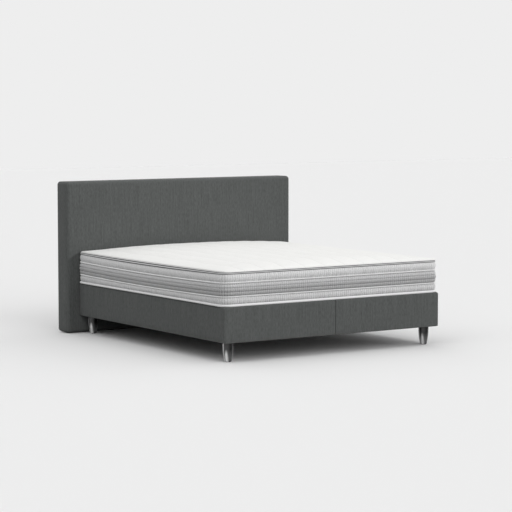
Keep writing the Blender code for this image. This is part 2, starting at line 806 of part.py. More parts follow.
def make_headboard_foam(frame_back_y, pocket_low, pocket_high):
    """The padding: a rounded block with a pocket at the back that takes the frame."""
    inset = fabric_thickness + seat_gap
    low = (-headboard_width / 2 + inset, headboard_front_y + inset, headboard_z + inset)
    high = (headboard_width / 2 - inset, frame_back_y, headboard_height - inset)
    size = [b - a for a, b in zip(low, high)]
    mesh = rounded_box("headboard_foam", size, headboard_edge_radius - fabric_thickness,
                       headboard_edge_segments)
    obj = bpy.data.objects.new("headboard_foam", mesh)
    obj.location = [(a + b) / 2 for a, b in zip(low, high)]
    far = (pocket_high[0], frame_back_y + cut_overrun, pocket_high[2])
    size = [b - a for a, b in zip(pocket_low, far)]
    cutter = bpy.data.objects.new("headboard_pocket_guide", cube_mesh("headboard_pocket_guide", size))
    cutter.location = [(a + b) / 2 for a, b in zip(pocket_low, far)]
    add_boolean(obj, as_guide(cutter), "DIFFERENCE")
    keep(obj, foam)


def make_headboard():
    """Cover, padding, front board, pine frame and back board, from the outside in."""
    frame_back_y = make_headboard_cover()
    edge = headboard_edge_radius + seat_gap
    pocket_low = (-headboard_width / 2 + edge,
                  headboard_front_y + fabric_thickness + seat_gap + headboard_foam_thickness,
                  headboard_z + edge)
    pocket_high = (headboard_width / 2 - edge, frame_back_y, headboard_height - edge)
    make_headboard_foam(frame_back_y, pocket_low, pocket_high)
    low = [a + seat_gap for a in pocket_low]
    high = (pocket_high[0] - seat_gap, frame_back_y, pocket_high[2] - seat_gap)
    board_y = low[1] + front_board_thickness
    block("headboard_front_board", low, (high[0], board_y, high[2]), fibreboard)
    y0 = board_y + seat_gap
    y1 = frame_back_y
    block("headboard_left_post", (low[0], y0, low[2]), (low[0] + post_width, y1, high[2]), pine)
    block("headboard_right_post", (high[0] - post_width, y0, low[2]), (high[0], y1, high[2]), pine)
    x0 = low[0] + post_width + seat_gap
    x1 = high[0] - post_width - seat_gap
    block("headboard_top_rail", (x0, y0, high[2] - headboard_rail_height), (x1, y1, high[2]), pine)
    block("headboard_bottom_rail", (x0, y0, low[2]), (x1, y1, low[2] + headboard_rail_height), pine)
    block("headboard_centre_post", (-post_width / 2, y0, low[2] + headboard_rail_height + seat_gap),
          (post_width / 2, y1, high[2] - headboard_rail_height - seat_gap), pine)
    back_y = headboard_back_y - back_board_thickness
    block("headboard_back_board",
          (-headboard_width / 2 + back_board_inset, back_y, headboard_z + back_board_inset),
          (headboard_width / 2 - back_board_inset, headboard_back_y, headboard_height - back_board_inset),
          black_cloth)
    glide = [(0.0, headboard_glide_thickness), (headboard_glide_radius, headboard_glide_thickness),
             (headboard_glide_radius, 0.0), (0.0, 0.0)]
    middle_y = (headboard_front_y + headboard_back_y) / 2
    for side, word in ((-1, "left"), (1, "right")):
        x = side * (headboard_width / 2 - headboard_glide_inset)
        turned("headboard_" + word + "_glide", glide, (x, middle_y, 0.0), black_plastic)


for box_side, box_word in ((-1, "left"), (1, "right")):
    make_box_cover(box_side, box_word)
    make_dust_cover(box_side, box_word)
    make_side_padding(box_side, box_word)
    make_box_rails(box_side, box_word)
    make_slat_deck(box_side, box_word)
    make_box_springs(box_side, box_word)
    make_box_foam(box_side, box_word)
    for leg_place, end_word in zip(leg_places(box_side), ("foot", "head")):
        make_leg(leg_place, end_word + "_" + box_word)
    make_bracket(box_side, box_word)
make_support_foot(foot_y + support_from_foot, "middle")
make_support_foot(head_y - support_from_head, "head")
make_coupling_plate()
make_border()
make_mattress_trims()
make_mattress_layers()
make_top_panel()
make_headboard()
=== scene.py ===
"""Box spring bed: two sprung boxes, one mattress and a slab headboard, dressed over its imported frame.

Metres, +Z up. The floor is z = 0, the foot end faces -Y and the headboard stands at +Y.
"""
import json
import math

import bmesh
import bpy
import numpy as np
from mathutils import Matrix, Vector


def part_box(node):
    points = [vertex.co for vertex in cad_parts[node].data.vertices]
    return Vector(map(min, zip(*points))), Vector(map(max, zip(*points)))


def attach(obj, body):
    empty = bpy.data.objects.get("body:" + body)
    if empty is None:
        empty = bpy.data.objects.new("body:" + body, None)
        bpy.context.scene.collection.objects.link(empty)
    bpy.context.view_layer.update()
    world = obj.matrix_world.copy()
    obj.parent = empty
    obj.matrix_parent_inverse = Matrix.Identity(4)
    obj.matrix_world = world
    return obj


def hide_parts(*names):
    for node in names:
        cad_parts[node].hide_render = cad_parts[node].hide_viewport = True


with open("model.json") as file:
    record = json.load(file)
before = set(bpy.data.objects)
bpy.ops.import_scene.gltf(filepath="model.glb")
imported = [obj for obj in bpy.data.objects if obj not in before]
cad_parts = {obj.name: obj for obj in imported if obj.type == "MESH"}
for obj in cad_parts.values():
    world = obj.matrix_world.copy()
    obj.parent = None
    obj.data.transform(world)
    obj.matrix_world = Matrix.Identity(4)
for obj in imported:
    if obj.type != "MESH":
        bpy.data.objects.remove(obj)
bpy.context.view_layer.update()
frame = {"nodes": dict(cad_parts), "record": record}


class Value:
    """One output of a node. Arithmetic on it adds Math nodes, so that a pattern reads as its formula."""

    def __init__(self, finish, socket):
        self.finish = finish
        self.socket = socket

    def math(self, operation, *others):
        """A Math node on this value and the others, in that order."""
        inputs = dict(enumerate((self, *others)))
        return self.finish.node("ShaderNodeMath", {"operation": operation}, inputs)

    def __add__(self, other):
        return self.math("ADD", other)

    def __mul__(self, other):
        return self.math("MULTIPLY", other)

    def __sub__(self, other):
        return self.math("SUBTRACT", other)

    def __truediv__(self, other):
        return self.math("DIVIDE", other)

    def __gt__(self, other):
        return self.math("GREATER_THAN", other)

    def __rsub__(self, other):
        return self * -1.0 + other

    __radd__ = __add__

    def clipped(self):
        """This value kept between 0 and 1."""
        return self.math("MAXIMUM", 0.0).math("MINIMUM", 1.0)

    def ridge(self, centre, half_width):
        """1 on a centre value, falling to 0 at half_width from it on both sides."""
        return (1.0 - (self - centre).math("ABSOLUTE") / half_width).clipped()

    def wave(self, pitch, phase=0.0):
        """A sine that goes round once in each pitch of this value, moved on by a phase."""
        return (self * (2 * math.pi / pitch) + phase).math("SINE")


class Finish:
    """The nodes of one material, or of the world, named for what it covers."""

    def __init__(self, name, owner=None):
        self.material = owner or bpy.data.materials.new(name)
        self.material.use_nodes = True
        self.tree = self.material.node_tree
        self.shader = self.tree.nodes.get("Principled BSDF")

    def feed(self, socket, value):
        """Link a value to a socket, or set a plain number or colour on the socket itself."""
        if isinstance(value, Value):
            self.tree.links.new(value.socket, socket)
        else:
            socket.default_value = value

    def node(self, kind, settings=None, inputs=None, output=0):
        """Add one node: its settings and a ramp's stops come first, then its sockets' values or links."""
        made = self.tree.nodes.new(kind)
        for key, value in (settings or {}).items():
            if key == "stops":
                ramp = made.color_ramp.elements
                for _ in range(len(value) - 2):
                    ramp.new(0.5)
                for stop, (position, shade) in zip(ramp, value):
                    stop.position = position
                    stop.color = shade
            else:
                setattr(made, key, value)
        for key, value in (inputs or {}).items():
            self.feed(made.inputs[key], value)
        return Value(self, made.outputs[output])

    def place(self, kind):
        """The place on the piece, as a vector: UV is its UV map in metres, Object its own coordinates."""
        return self.node("ShaderNodeTexCoord", output=kind)

    def parts(self, vector):
        """The three parts of a vector."""
        split = self.node("ShaderNodeSeparateXYZ", inputs={0: vector}).socket.node
        return [Value(self, socket) for socket in split.outputs]

    def vector(self, x, y, z=0.0):
        """Three values as one vector."""
        return self.node("ShaderNodeCombineXYZ", inputs={0: x, 1: y, 2: z})

    def looked_at(self):
        """1 for rays from the camera, also by way of a mirror or glass, and 0 for rays of light."""
        rays = self.node("ShaderNodeLightPath").socket.node.outputs
        camera_ray, glossy_ray, clear_ray = (
            Value(self, rays[kind]) for kind in ("Is Camera Ray", "Is Glossy Ray", "Is Transmission Ray"))
        return camera_ray.math("MAXIMUM", glossy_ray).math("MAXIMUM", clear_ray)

    def grain(self, where, scale, detail=2.0, roughness=0.5):
        """Soft noise between 0 and 1 round 0.5, with scale grains to each unit of where."""
        return self.node("ShaderNodeTexNoise", {"noise_dimensions": "3D"},
                         {"Vector": where, "Scale": scale, "Detail": detail, "Roughness": roughness})

    def dye(self, first, second, share):
        """One colour mixed into another by a value."""
        return self.node("ShaderNodeMix", {"data_type": "RGBA"}, {0: share, 6: first, 7: second}, 2)

    def tint(self, shade, strength):
        """A colour made darker or lighter by a value."""
        return self.node("ShaderNodeVectorMath", {"operation": "SCALE"}, {0: shade, "Scale": strength})

    def relief(self, height, strength, distance):
        """A bump of that height, as the shader's normal."""
        bump = self.node("ShaderNodeBump", None,
                         {"Strength": strength, "Distance": distance, "Height": height})
        self.feed(self.shader.inputs["Normal"], bump)

    def set(self, **values):
        """Set the shader's own sockets, whose names have spaces for underscores."""
        for key, value in values.items():
            self.feed(self.shader.inputs[key.replace("_", " ")], value)
        return self


def colour(red, green, blue):
    """A linear colour as a socket takes it."""
    return (red, green, blue, 1.0)


def grey(level):
    """A linear grey as a socket takes it."""
    return colour(level, level, level)


def quad_piece(name, points, corners, uv=None, smooth=True):
    """A piece of four-sided faces: its points, each face's four corners, and their places on the cloth."""
    points = points.reshape(-1, 3)
    mesh = bpy.data.meshes.new(name)
    mesh.vertices.add(len(points))
    mesh.vertices.foreach_set("co", points.reshape(-1).astype(np.float32))
    mesh.loops.add(corners.size)
    mesh.loops.foreach_set("vertex_index", corners.reshape(-1).astype(np.int32))
    mesh.polygons.add(len(corners))
    mesh.polygons.foreach_set("loop_start", np.arange(0, corners.size, 4, dtype=np.int32))
    mesh.polygons.foreach_set("use_smooth", np.full(len(corners), smooth))
    if uv is not None:
        mesh.uv_layers.new(name="cloth").data.foreach_set("uv", uv.reshape(-1).astype(np.float32))
    mesh.update(calc_edges=True)
    piece = bpy.data.objects.new(name, mesh)
    bpy.context.scene.collection.objects.link(piece)
    return piece


def skin(name, points, around=False, across=False, along_u=None, along_v=None):
    """A skin of four-sided faces over a grid of points, whose rows run along the first index.

    around closes the first direction on itself and across the second. along_u and along_v are the
    distances, in metres, that the piece's UV map gives to the grid's lines, one more where it closes.
    """
    rows, columns = points.shape[:2]
    i, j = np.meshgrid(np.arange(rows if around else rows - 1),
                       np.arange(columns if across else columns - 1), indexing="ij")
    i, j = i.ravel(), j.ravel()
    ni, nj = (i + 1) % rows, (j + 1) % columns
    corners = np.stack([i * columns + j, ni * columns + j, ni * columns + nj, i * columns + nj], 1)
    uv = None
    if along_u is not None:
        uv = np.stack([np.stack([along_u[a], along_v[b]], -1)
                       for a, b in ((i, j), (i + 1, j), (i + 1, j + 1), (i, j + 1))], 1)
    return quad_piece(name, points, corners, uv)


# The studio: a pale floor that takes the bed's shadow, a pale room all round, and broad soft lamps on
# every side. A small key lamp from the right of the foot end throws the mattress's shadow on the
# headboard. The floor has a softer key and front lamp of its own, for the soft shadow round the bed.
room_white = 0.855
room_light = 0.36
floor_grey = 0.46
floor_size = 60.0

world = bpy.data.worlds.new("pale_room")
bpy.context.scene.world = world
room = Finish("pale_room", world)
lit = room.node("ShaderNodeBackground", None, {"Color": grey(1.0), "Strength": room_light})
seen = room.node("ShaderNodeBackground", None, {"Color": grey(room_white), "Strength": 1.0})
both = room.node("ShaderNodeMixShader", None, {0: room.looked_at(), 1: lit, 2: seen})
room.feed(room.tree.nodes["World Output"].inputs["Surface"], both)

floor_edge = floor_size / 2 * np.array([-1.0, 1.0])
floor_grid = np.stack([*np.meshgrid(floor_edge, floor_edge, indexing="ij"), np.zeros((2, 2))], -1)
floor = skin("studio_floor", floor_grid)
floor_paint = Finish("studio_floor")
floor_paint.set(Base_Color=floor_paint.dye(grey(floor_grey), grey(room_white), floor_paint.looked_at()),
                Roughness=1.0, Specular_IOR_Level=0.0)
floor.data.materials.append(floor_paint.material)


def lamp(name, strength, spread, towards, floor_share=None):
    """A sun lamp of that strength and angular spread in degrees. towards points from the bed to the light.

    floor_share is INCLUDE for a lamp that lights the floor alone, or EXCLUDE for one that leaves it out.
    """
    data = bpy.data.lights.new(name, "SUN")
    data.energy = strength
    data.angle = math.radians(spread)
    light = bpy.data.objects.new(name, data)
    bpy.context.scene.collection.objects.link(light)
    x, y, z = towards
    light.rotation_euler = (math.atan2(math.hypot(x, y), z), 0.0, math.atan2(x, -y))
    if floor_share:
        linked = bpy.data.collections.new(name)
        linked.objects.link(floor)
        linked.collection_objects[0].light_linking.link_state = floor_share
        light.light_linking.receiver_collection = linked


lamp("key_light", 1.10, 2.0, (0.60, -0.66, 0.38), "EXCLUDE")
lamp("front_light", 0.60, 24.0, (-0.35, -0.84, 0.35), "EXCLUDE")
lamp("floor_key_light", 0.226, 14.0, (0.64, -0.73, 0.24), "INCLUDE")
lamp("floor_front_light", 1.27, 60.0, (0.0, -0.90, 0.35), "INCLUDE")
lamp("top_light", 0.55, 60.0, (0.0, 0.0, 1.0))
lamp("right_light", 0.726, 60.0, (0.95, -0.10, 0.35))
lamp("back_light", 0.42, 50.0, (0.10, 0.70, 0.70))
lamp("left_light", 0.54, 50.0, (-0.72, -0.08, 0.68))

camera = bpy.data.objects.new("camera", bpy.data.cameras.new("camera"))
bpy.context.scene.collection.objects.link(camera)
bpy.context.scene.camera = camera
camera.location = (-7.6606, -11.6266, 1.7562)
camera.rotation_euler = (math.radians(90 - 4.761), 0.0, math.radians(-33.605))
camera.data.sensor_width = 36.0
camera.data.lens = 135.0
camera.data.clip_end = 200.0
bpy.context.scene.view_settings.view_transform = "Standard"


# The boxes' covers: dark grey linen-look cloth drawn over a padded frame, so that every edge is
# soft, and turned under at the bottom.
def edge_lines(low, high, low_radius, high_radius, spacing):
    """Places of grid lines along one side: even ones between, and a close set in each rounded end."""
    round_steps = 6
    steps = np.linspace(0.0, 1.0, round_steps + 1)[:-1]
    count = max(2, round((high - low - low_radius - high_radius) / spacing))
    middle = np.linspace(low + low_radius, high - high_radius, count + 1)
    return np.concatenate([low + low_radius * steps, middle, high - high_radius * steps[::-1]])


def soft_block(name, low, high, low_radii, high_radii, spacing):
    """A block with rounded edges.

    Each point of a gridded block is measured from an inner block, which is smaller by the edge
    radii; its distance from there, counted in those radii, is then brought to one. The UV map of a
    side is the side's own two coordinates.
    """
    low, high, low_radii, high_radii = (np.array(c) for c in (low, high, low_radii, high_radii))
    lines = [edge_lines(low[k], high[k], low_radii[k], high_radii[k], spacing) for k in range(3)]
    points, corners, places, start = [], [], [], 0
    for k in range(3):
        before, after = (k + 2) % 3, (k + 1) % 3
        on_side = [axis for axis in range(3) if axis != k]
        for end, first, second in ((low[k], before, after), (high[k], after, before)):
            rows, columns = len(lines[first]), len(lines[second])
            grid = np.full((rows, columns, 3), end)
            grid[..., first], grid[..., second] = np.meshgrid(lines[first], lines[second], indexing="ij")
            inner = np.clip(grid, low + low_radii, high - high_radii)
            away = grid - inner
            radii = np.where(away < 0, low_radii, high_radii)
            counted = away / radii
            counted /= np.maximum(np.linalg.norm(counted, axis=-1, keepdims=True), 1e-9)
            points.append((inner + counted * radii).reshape(-1, 3))
            corner = (np.arange(rows - 1)[:, None] * columns + np.arange(columns - 1)).ravel()
            quad = np.stack([corner, corner + columns, corner + columns + 1, corner + 1], 1)
            corners.append(quad + start)
            places.append(grid[..., on_side].reshape(-1, 2)[quad])
            start += rows * columns
    piece = quad_piece(name, *(np.concatenate(parts) for parts in (points, corners, places)))
    weld(piece)
    return piece


def weld(piece):
    """Join the points that lie on each other along the seams of a piece, and shade it smooth."""
    bm = bmesh.new()
    bm.from_mesh(piece.data)
    bmesh.ops.remove_doubles(bm, verts=bm.verts, dist=0.00005)
    bmesh.ops.recalc_face_normals(bm, faces=bm.faces)
    bm.to_mesh(piece.data)
    bm.free()
    piece.data.shade_smooth()


thread_pitch = 0.0017
cover_spacing = 0.045
# Edge radii along X, at the seam between the boxes and on the outer sides, and then along Y and Z.
box_seam_radius = 0.005
box_outer_radius = 0.020
box_foot_radius = 0.007
box_head_radius = 0.006
box_bottom_radius = 0.004
box_top_radius = 0.018
headboard_radius = 0.026
headboard_back_radius = 0.020

charcoal = Finish("charcoal_linen_weave")
u, v, _ = charcoal.parts(charcoal.place("UV"))
streaks = charcoal.grain(charcoal.vector(u * 125.0, v * 4.5), 1.0, 1.0)
runs = charcoal.grain(charcoal.vector(u * 125.0, v * 36.0, 5.0), 1.0, 1.0)
slubs = charcoal.grain(charcoal.vector(u * 520.0, v * 45.0, 3.0), 1.0, 2.0)
blotches = charcoal.grain(charcoal.vector(u * 9.0, v * 5.0, 7.0), 1.0, 2.0)
weave = u.wave(thread_pitch, slubs * 2.0) * v.wave(thread_pitch)
shade = (1.0 + (streaks - 0.5) * 0.50 + (runs - 0.5) * 0.60 + (slubs - 0.5) * 0.30
         + (blotches - 0.5) * 0.10 + weave * 0.05)
charcoal.set(Base_Color=charcoal.tint((0.0898, 0.0946, 0.0924), shade),
             Roughness=0.94, Specular_IOR_Level=0.25, Sheen_Weight=0.05, Sheen_Roughness=0.5)
charcoal.relief(weave * 0.5 + slubs, 0.35, 0.0004)

for side in ("left", "right"):
    low, high = np.array(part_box("box_cover_" + side))
    low_x_radius = box_outer_radius if side == "left" else box_seam_radius
    high_x_radius = box_seam_radius if side == "left" else box_outer_radius
    cover = soft_block("box_cloth_" + side, low, high, (low_x_radius, box_foot_radius, box_bottom_radius),
                       (high_x_radius, box_head_radius, box_top_radius), cover_spacing)
    cover.data.materials.append(charcoal.material)
    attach(cover, "base")
    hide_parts("box_cover_" + side)

# The headboard: the same cloth over a thick padded slab, with the softest edges of the bed.
low, high = np.array(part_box("headboard_cover"))
headboard = soft_block("headboard_cloth", low, high, (headboard_radius, headboard_radius, headboard_radius),
                       (headboard_radius, headboard_back_radius, headboard_radius), cover_spacing)
headboard.data.materials.append(charcoal.material)
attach(headboard, "base")
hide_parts("headboard_cover")


# The mattress border: light knit above and below, a darker ribbed mesh band between, sewn to
# each other in two sunken seams. It hangs a little along the sides.
mattress_low, mattress_high = np.array(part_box("mattress_top_panel"))
mattress_length = mattress_high[1] - mattress_low[1]
half_width = mattress_high[0]
foot_radius = 0.060
head_radius = 0.030
path_spacing = 0.008
sag_heights = (0.375, 0.385, 0.440, 0.534, 0.580, 0.590, 0.599, 0.603, 0.640)
sag_depths = (0.0, 0.0005, 0.0115, 0.0125, 0.0125, 0.0122, 0.0055, 0.0042, 0.003)
end_sag_share = 0.08
lobe_points = 15
ring_back = -0.008


def mattress_path(spacing):
    """Points, outward directions and distances walked round the mattress.

    Four straight runs and four quarter circles follow each other counter-clockwise, from the
    foot end's left corner.
    """
    x0, x1, y0, y1 = -half_width, half_width, mattress_low[1], mattress_high[1]
    corners = ((x1, y0, foot_radius, -90), (x1, y1, head_radius, 0),
               (x0, y1, head_radius, 90), (x0, y0, foot_radius, 180))
    points, outward = [], []
    last = np.array([x0 + foot_radius, y0])
    for x, y, radius, turn in corners:
        centre = np.array([x - math.copysign(radius, x), y - math.copysign(radius, y)])
        arc_steps = max(4, round(radius * math.pi / 2 / spacing))
        turns = np.radians(turn + np.linspace(0, 90, arc_steps + 1))
        arc = np.stack([np.cos(turns), np.sin(turns)], 1)
        begin = centre + arc[0] * radius
        count = max(1, round(np.linalg.norm(begin - last) / spacing))
        line = last + (begin - last) * np.linspace(0, 1, count + 1)[1:-1, None]
        points += [last[None], line, centre + arc[:-1] * radius]
        outward += [np.repeat(arc[:1], 1 + len(line), 0), arc[:-1]]
        last = centre + arc[-1] * radius
    points, outward = np.concatenate(points), np.concatenate(outward)
    steps = np.linalg.norm(np.roll(points, -1, 0) - points, axis=1)
    return points, outward, np.concatenate([[0.0], np.cumsum(steps)])


def sag(points, outward, heights):
    """How far each point of the side hangs down: a parabola along the side, most at the upper seam."""
    along = (points[:, 1] - mattress_low[1]) / mattress_length
    across = (points[:, 0] + half_width) / (2 * half_width)
    share = (outward[:, 0] ** 2 * 4 * along * (1 - along)
             + end_sag_share * outward[:, 1] ** 2 * 4 * across * (1 - across))
    return share[:, None] * np.interp(heights, sag_heights, sag_depths)[None]


def ripple(walked, lengths, seed):
    """A wave that meets itself round the mattress: cosines of random phase in a band of wave lengths."""
    rng = np.random.default_rng(seed)
    total = walked[-1]
    counts = np.unique(np.round(total / np.linspace(*lengths, 24)).astype(int))
    phases = rng.uniform(0, 2 * np.pi, len(counts))
    waves = np.cos(2 * np.pi * np.outer(walked[:-1] / total, counts) + phases)
    return waves.sum(1) / math.sqrt(len(counts) / 2)


def swept_ring(name, profile, wrinkle=None):
    """A closed profile of (outward, height) points carried round the mattress.

    wrinkle adds an outward distance, by path point and profile point.
    """
    points, outward, walked = mattress_path(path_spacing)
    out, heights = profile[:, 0], profile[:, 1]
    reach = out[None] + (wrinkle(walked) if wrinkle else 0.0)
    ring = np.zeros((len(points), len(out), 3))
    ring[..., :2] = points[:, None] + outward[:, None] * reach[..., None]
    ring[..., 2] = heights[None] - sag(points, outward, heights)
    piece = skin(name, ring, True, True, walked, np.append(heights, heights[0]))
    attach(piece, "mattress")
    return piece


def lobed_profile(lobes, barrel):
    """The face of a sewn strip, up through its lobes, and its flat back.

    Each lobe is (from height, to height, bulge): nearly half a sine, drawn in by 2.5 mm at its
    two creases. The whole strip swells by half a sine of barrel.
    """
    share = np.linspace(0, 1, lobe_points)
    low, high = lobes[0][0], lobes[-1][1]
    face = []
    for z0, z1, bulge in lobes:
        z = z0 + (z1 - z0) * share
        whole = np.clip((z - low) / (high - low), 0, 1)
        out = bulge * np.sin(np.pi * share) ** 0.9 - 0.0025 * np.abs(2 * share - 1) ** 10
        face.append(np.stack([out + barrel * np.sin(np.pi * whole) ** 0.8, z], 1))
    return np.concatenate([*face, [[ring_back, high], [ring_back, low]]])


def puckers(seed, lobe_count):
    """Small folds that run in from both creases of each lobe and fade towards its middle.

    They are short waves round the mattress times how near the crease is, and longer waves on the
    swell of each lobe.
    """
    share = np.linspace(0, 1, lobe_points)
    near = np.append(np.tile(np.abs(2 * share - 1) ** 2, lobe_count), [0.0, 0.0])
    swell = np.append(np.tile(np.sin(np.pi * share), lobe_count), [0.0, 0.0])

    def fold(walked):
        fine = ripple(walked, (0.018, 0.045), seed)[:, None] * 0.0006
        wide = ripple(walked, (0.12, 0.35), seed + 1)[:, None] * 0.0008
        return fine * near[None] + wide * swell[None]

    return fold


# The broad ribs of both knits stand a whole number of times round the mattress.
border_girth = mattress_path(path_spacing)[2][-1]
rib_pitch = border_girth / round(border_girth / 0.0172)
fine_rib_pitch = 0.0045
loop_pitch = 0.003
# Centre of the painted shade over the binding, and the height where the painted light of the upper strip
# starts.
binding_shadow_z = 0.3960
painted_light_start_z = 0.540
mesh_low_z = 0.4455
mesh_lobe_height = 0.0261
mesh_creases = [mesh_low_z + n * mesh_lobe_height for n in range(4)]

light_knit = Finish("border_light_knit")
u, v, _ = light_knit.parts(light_knit.place("UV"))
ribs = u.wave(fine_rib_pitch)
loops = v.wave(loop_pitch)
melange = light_knit.grain(light_knit.vector(u * 140.0, v * 140.0), 1.0, 3.0, 0.7)
columns = light_knit.grain(light_knit.vector(u * 130.0, v * 14.0, 2.0), 1.0, 2.0)
broad_ribs = u.wave(rib_pitch, columns * 4.0)
# Painted light makes the upper strip lighter towards its top, and painted shade darkens a band over the
# binding.
painted_climb = ((v - painted_light_start_z) / 0.035).clipped()
shade = (0.97 + painted_climb * 0.15 - v.ridge(binding_shadow_z, 0.0160) * 0.14 + (melange - 0.5) * 1.1
         + (columns - 0.5) * 0.6 + broad_ribs * 0.10 + ribs * 0.04)
light_knit.set(Base_Color=light_knit.tint((0.600, 0.600, 0.602), shade), Roughness=0.92,
               Specular_IOR_Level=0.2, Sheen_Weight=0.5, Sheen_Roughness=0.4)
light_knit.relief(ribs * 0.5 + loops * 0.25 + melange, 0.5, 0.0006)

mesh_knit = Finish("border_mesh_knit")
u, v, _ = mesh_knit.parts(mesh_knit.place("UV"))
cells = mesh_knit.node("ShaderNodeTexVoronoi", {"feature": "F1"},
                       {"Vector": mesh_knit.vector(u * 90.0, v * 260.0), "Scale": 1.0})
melange = mesh_knit.grain(mesh_knit.vector(u * 200.0, v * 320.0), 1.0, 3.0, 0.7)
broad_ribs = u.wave(rib_pitch, melange * 5.0)
# Painted light: the top lobe of the band is lighter, and each lobe lightens towards its top. Painted shade
# darkens the creases between lobes.
painted_climb = ((v - 0.490) * 60.0).clipped()
lobe_painted_climb = ((v - mesh_low_z) / mesh_lobe_height).math("FRACT")
painted_crease_shade = v.ridge(mesh_creases[0], 0.0040) + v.ridge(mesh_creases[1], 0.0030)
painted_crease_shade += v.ridge(mesh_creases[2], 0.0022) * 0.3
shade = (0.84 + painted_climb * 0.26 + lobe_painted_climb * 0.18 + (melange - 0.5) * 2.2 + broad_ribs * 0.14
         - painted_crease_shade * 0.44 - (cells > 0.55) * 0.12)
mesh_knit.set(Base_Color=mesh_knit.tint((0.440, 0.440, 0.443), shade), Roughness=0.9,
              Specular_IOR_Level=0.2, Sheen_Weight=0.4, Sheen_Roughness=0.4)
mesh_knit.relief(melange - cells * 0.8, 0.6, 0.0008)

# Each strip's lobes, its barrel and its knit.
strips = (
    ("border_lower_strip", ((0.3895, 0.4335, 0.0055), (0.4335, 0.4453, 0.0014)), 0.0012, light_knit),
    ("border_mesh_band", tuple(zip(mesh_creases, mesh_creases[1:], (0.0032, 0.0030, 0.0032))),
     0.0075, mesh_knit),
    ("border_upper_strip", ((0.5240, 0.5385, 0.0014), (0.5385, 0.5895, 0.0062)), 0.0012, light_knit),
)
for number, (name, lobes, barrel, finish) in enumerate(strips):
    strip = swept_ring(name, lobed_profile(lobes, barrel), wrinkle=puckers(11 + number, len(lobes)))
    strip.data.materials.append(finish.material)
    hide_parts("mattress_border")

# Seam threads: white yarn in a zigzag over each sunken seam of the border.
lower_seam_z = 0.4400
upper_seam_z = 0.5320
yarn_radius = 0.0021
yarn_out = 0.0046
stitch_rise = 0.0032
stitch_pitch = 0.006

white_yarn = Finish("white_yarn")
u, v, _ = white_yarn.parts(white_yarn.place("UV"))
twist = (u * 2600.0 + v * 900.0).math("SINE")
white_yarn.set(Base_Color=white_yarn.tint((0.93, 0.93, 0.93), 0.96 + twist * 0.04), Roughness=0.8)
white_yarn.relief(twist, 0.3, 0.0002)


def yarn_ring(name, centres, radius, sides=5):
    """A yarn along a closed line: a circle square to it at each point, by the cross product with up."""
    ahead = np.roll(centres, -1, 0) - np.roll(centres, 1, 0)
    ahead /= np.linalg.norm(ahead, axis=1, keepdims=True)
    aside = np.cross(ahead, (0.0, 0.0, 1.0))
    aside /= np.linalg.norm(aside, axis=1, keepdims=True)
    above = np.cross(aside, ahead)
    turns = np.linspace(0, 2 * np.pi, sides, endpoint=False)[None, :, None]
    ring = np.cos(turns) * aside[:, None] + np.sin(turns) * above[:, None]
    steps = np.linalg.norm(np.roll(centres, -1, 0) - centres, axis=1)
    walked = np.concatenate([[0.0], np.cumsum(steps)])
    girth = np.linspace(0, 1, sides + 1) * 0.005
    return skin(name, centres[:, None] + ring * radius, True, True, walked, girth)


def seam_yarn(name, height):
    """A yarn that steps up and down across a seam, once each half pitch."""
    points, outward, _ = mattress_path(stitch_pitch / 4)
    lift = np.array([0.0, 1.0, 0.0, -1.0])[np.arange(len(points)) % 4] * stitch_rise
    centres = np.zeros((len(points), 3))
    centres[:, :2] = points + outward * yarn_out
    centres[:, 2] = height + lift - sag(points, outward, np.array([height]))[:, 0]
    yarn = yarn_ring(name, centres, yarn_radius)
    yarn.data.materials.append(white_yarn.material)
    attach(yarn, "mattress")


seam_yarn("lower_seam_yarn", lower_seam_z)
seam_yarn("upper_seam_yarn", upper_seam_z)

# The edge tape between border and top panel: a woven band, white with a dark cord at each edge.
tape_low_z = 0.5875
tape_high_z = 0.6030
lower_cord_z = 0.5906
upper_cord_z = 0.5991
herring_pitch = 0.004

tape_cloth = Finish("edge_tape_weave")
u, v, _ = tape_cloth.parts(tape_cloth.place("UV"))
cords = (v.ridge(lower_cord_z, 0.0032) * 1.6 + v.ridge(upper_cord_z, 0.0031) * 1.7).clipped()
herring = (u + v).wave(herring_pitch)
tape_cloth.set(Base_Color=tape_cloth.dye(grey(0.80), colour(0.055, 0.056, 0.060), cords),
               Roughness=0.85, Specular_IOR_Level=0.25)
tape_cloth.relief(herring, 0.4, 0.0003)

# The band swells by the root of half a sine, and a bell curve stands out at each cord.
share = np.linspace(0, 1, 19)
cord_bulge = np.exp(-((share - 0.20) / 0.08) ** 2) + np.exp(-((share - 0.76) / 0.08) ** 2)
tape_out = 0.0022 + 0.0022 * np.sin(np.pi * share) ** 0.5 + 0.0012 * cord_bulge
tape_front = np.stack([tape_out, tape_low_z + (tape_high_z - tape_low_z) * share], 1)
tape = swept_ring("edge_tape",
                  np.concatenate([tape_front, [[ring_back, tape_high_z], [ring_back, tape_low_z]]]))
tape.data.materials.append(tape_cloth.material)
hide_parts("mattress_top_tape")

# The round binding along the mattress's lower edge: white knit over a cord.
cord_radius = 0.0084
cord_out = 0.0018
cord_z = 0.3810
binding_back = -0.011
binding_rib_pitch = 0.005

binding_cloth = Finish("white_binding_knit")
u, v, _ = binding_cloth.parts(binding_cloth.place("UV"))
rib = u.wave(binding_rib_pitch)
binding_cloth.set(Base_Color=binding_cloth.tint((0.84, 0.84, 0.845), 0.97 + rib * 0.03), Roughness=0.85,
                  Specular_IOR_Level=0.25, Sheen_Weight=0.1)
binding_cloth.relief(rib, 0.4, 0.0004)
turns = np.linspace(-0.8 * math.pi, 0.62 * math.pi, 22)
binding_front = np.stack([cord_out + cord_radius * np.cos(turns), cord_z + cord_radius * np.sin(turns)], 1)
binding = swept_ring("bottom_binding",
                     np.concatenate([binding_front, [[binding_back, 0.3895], [binding_back, 0.3770]]]))
binding.data.materials.append(binding_cloth.material)
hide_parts("mattress_bottom_binding")


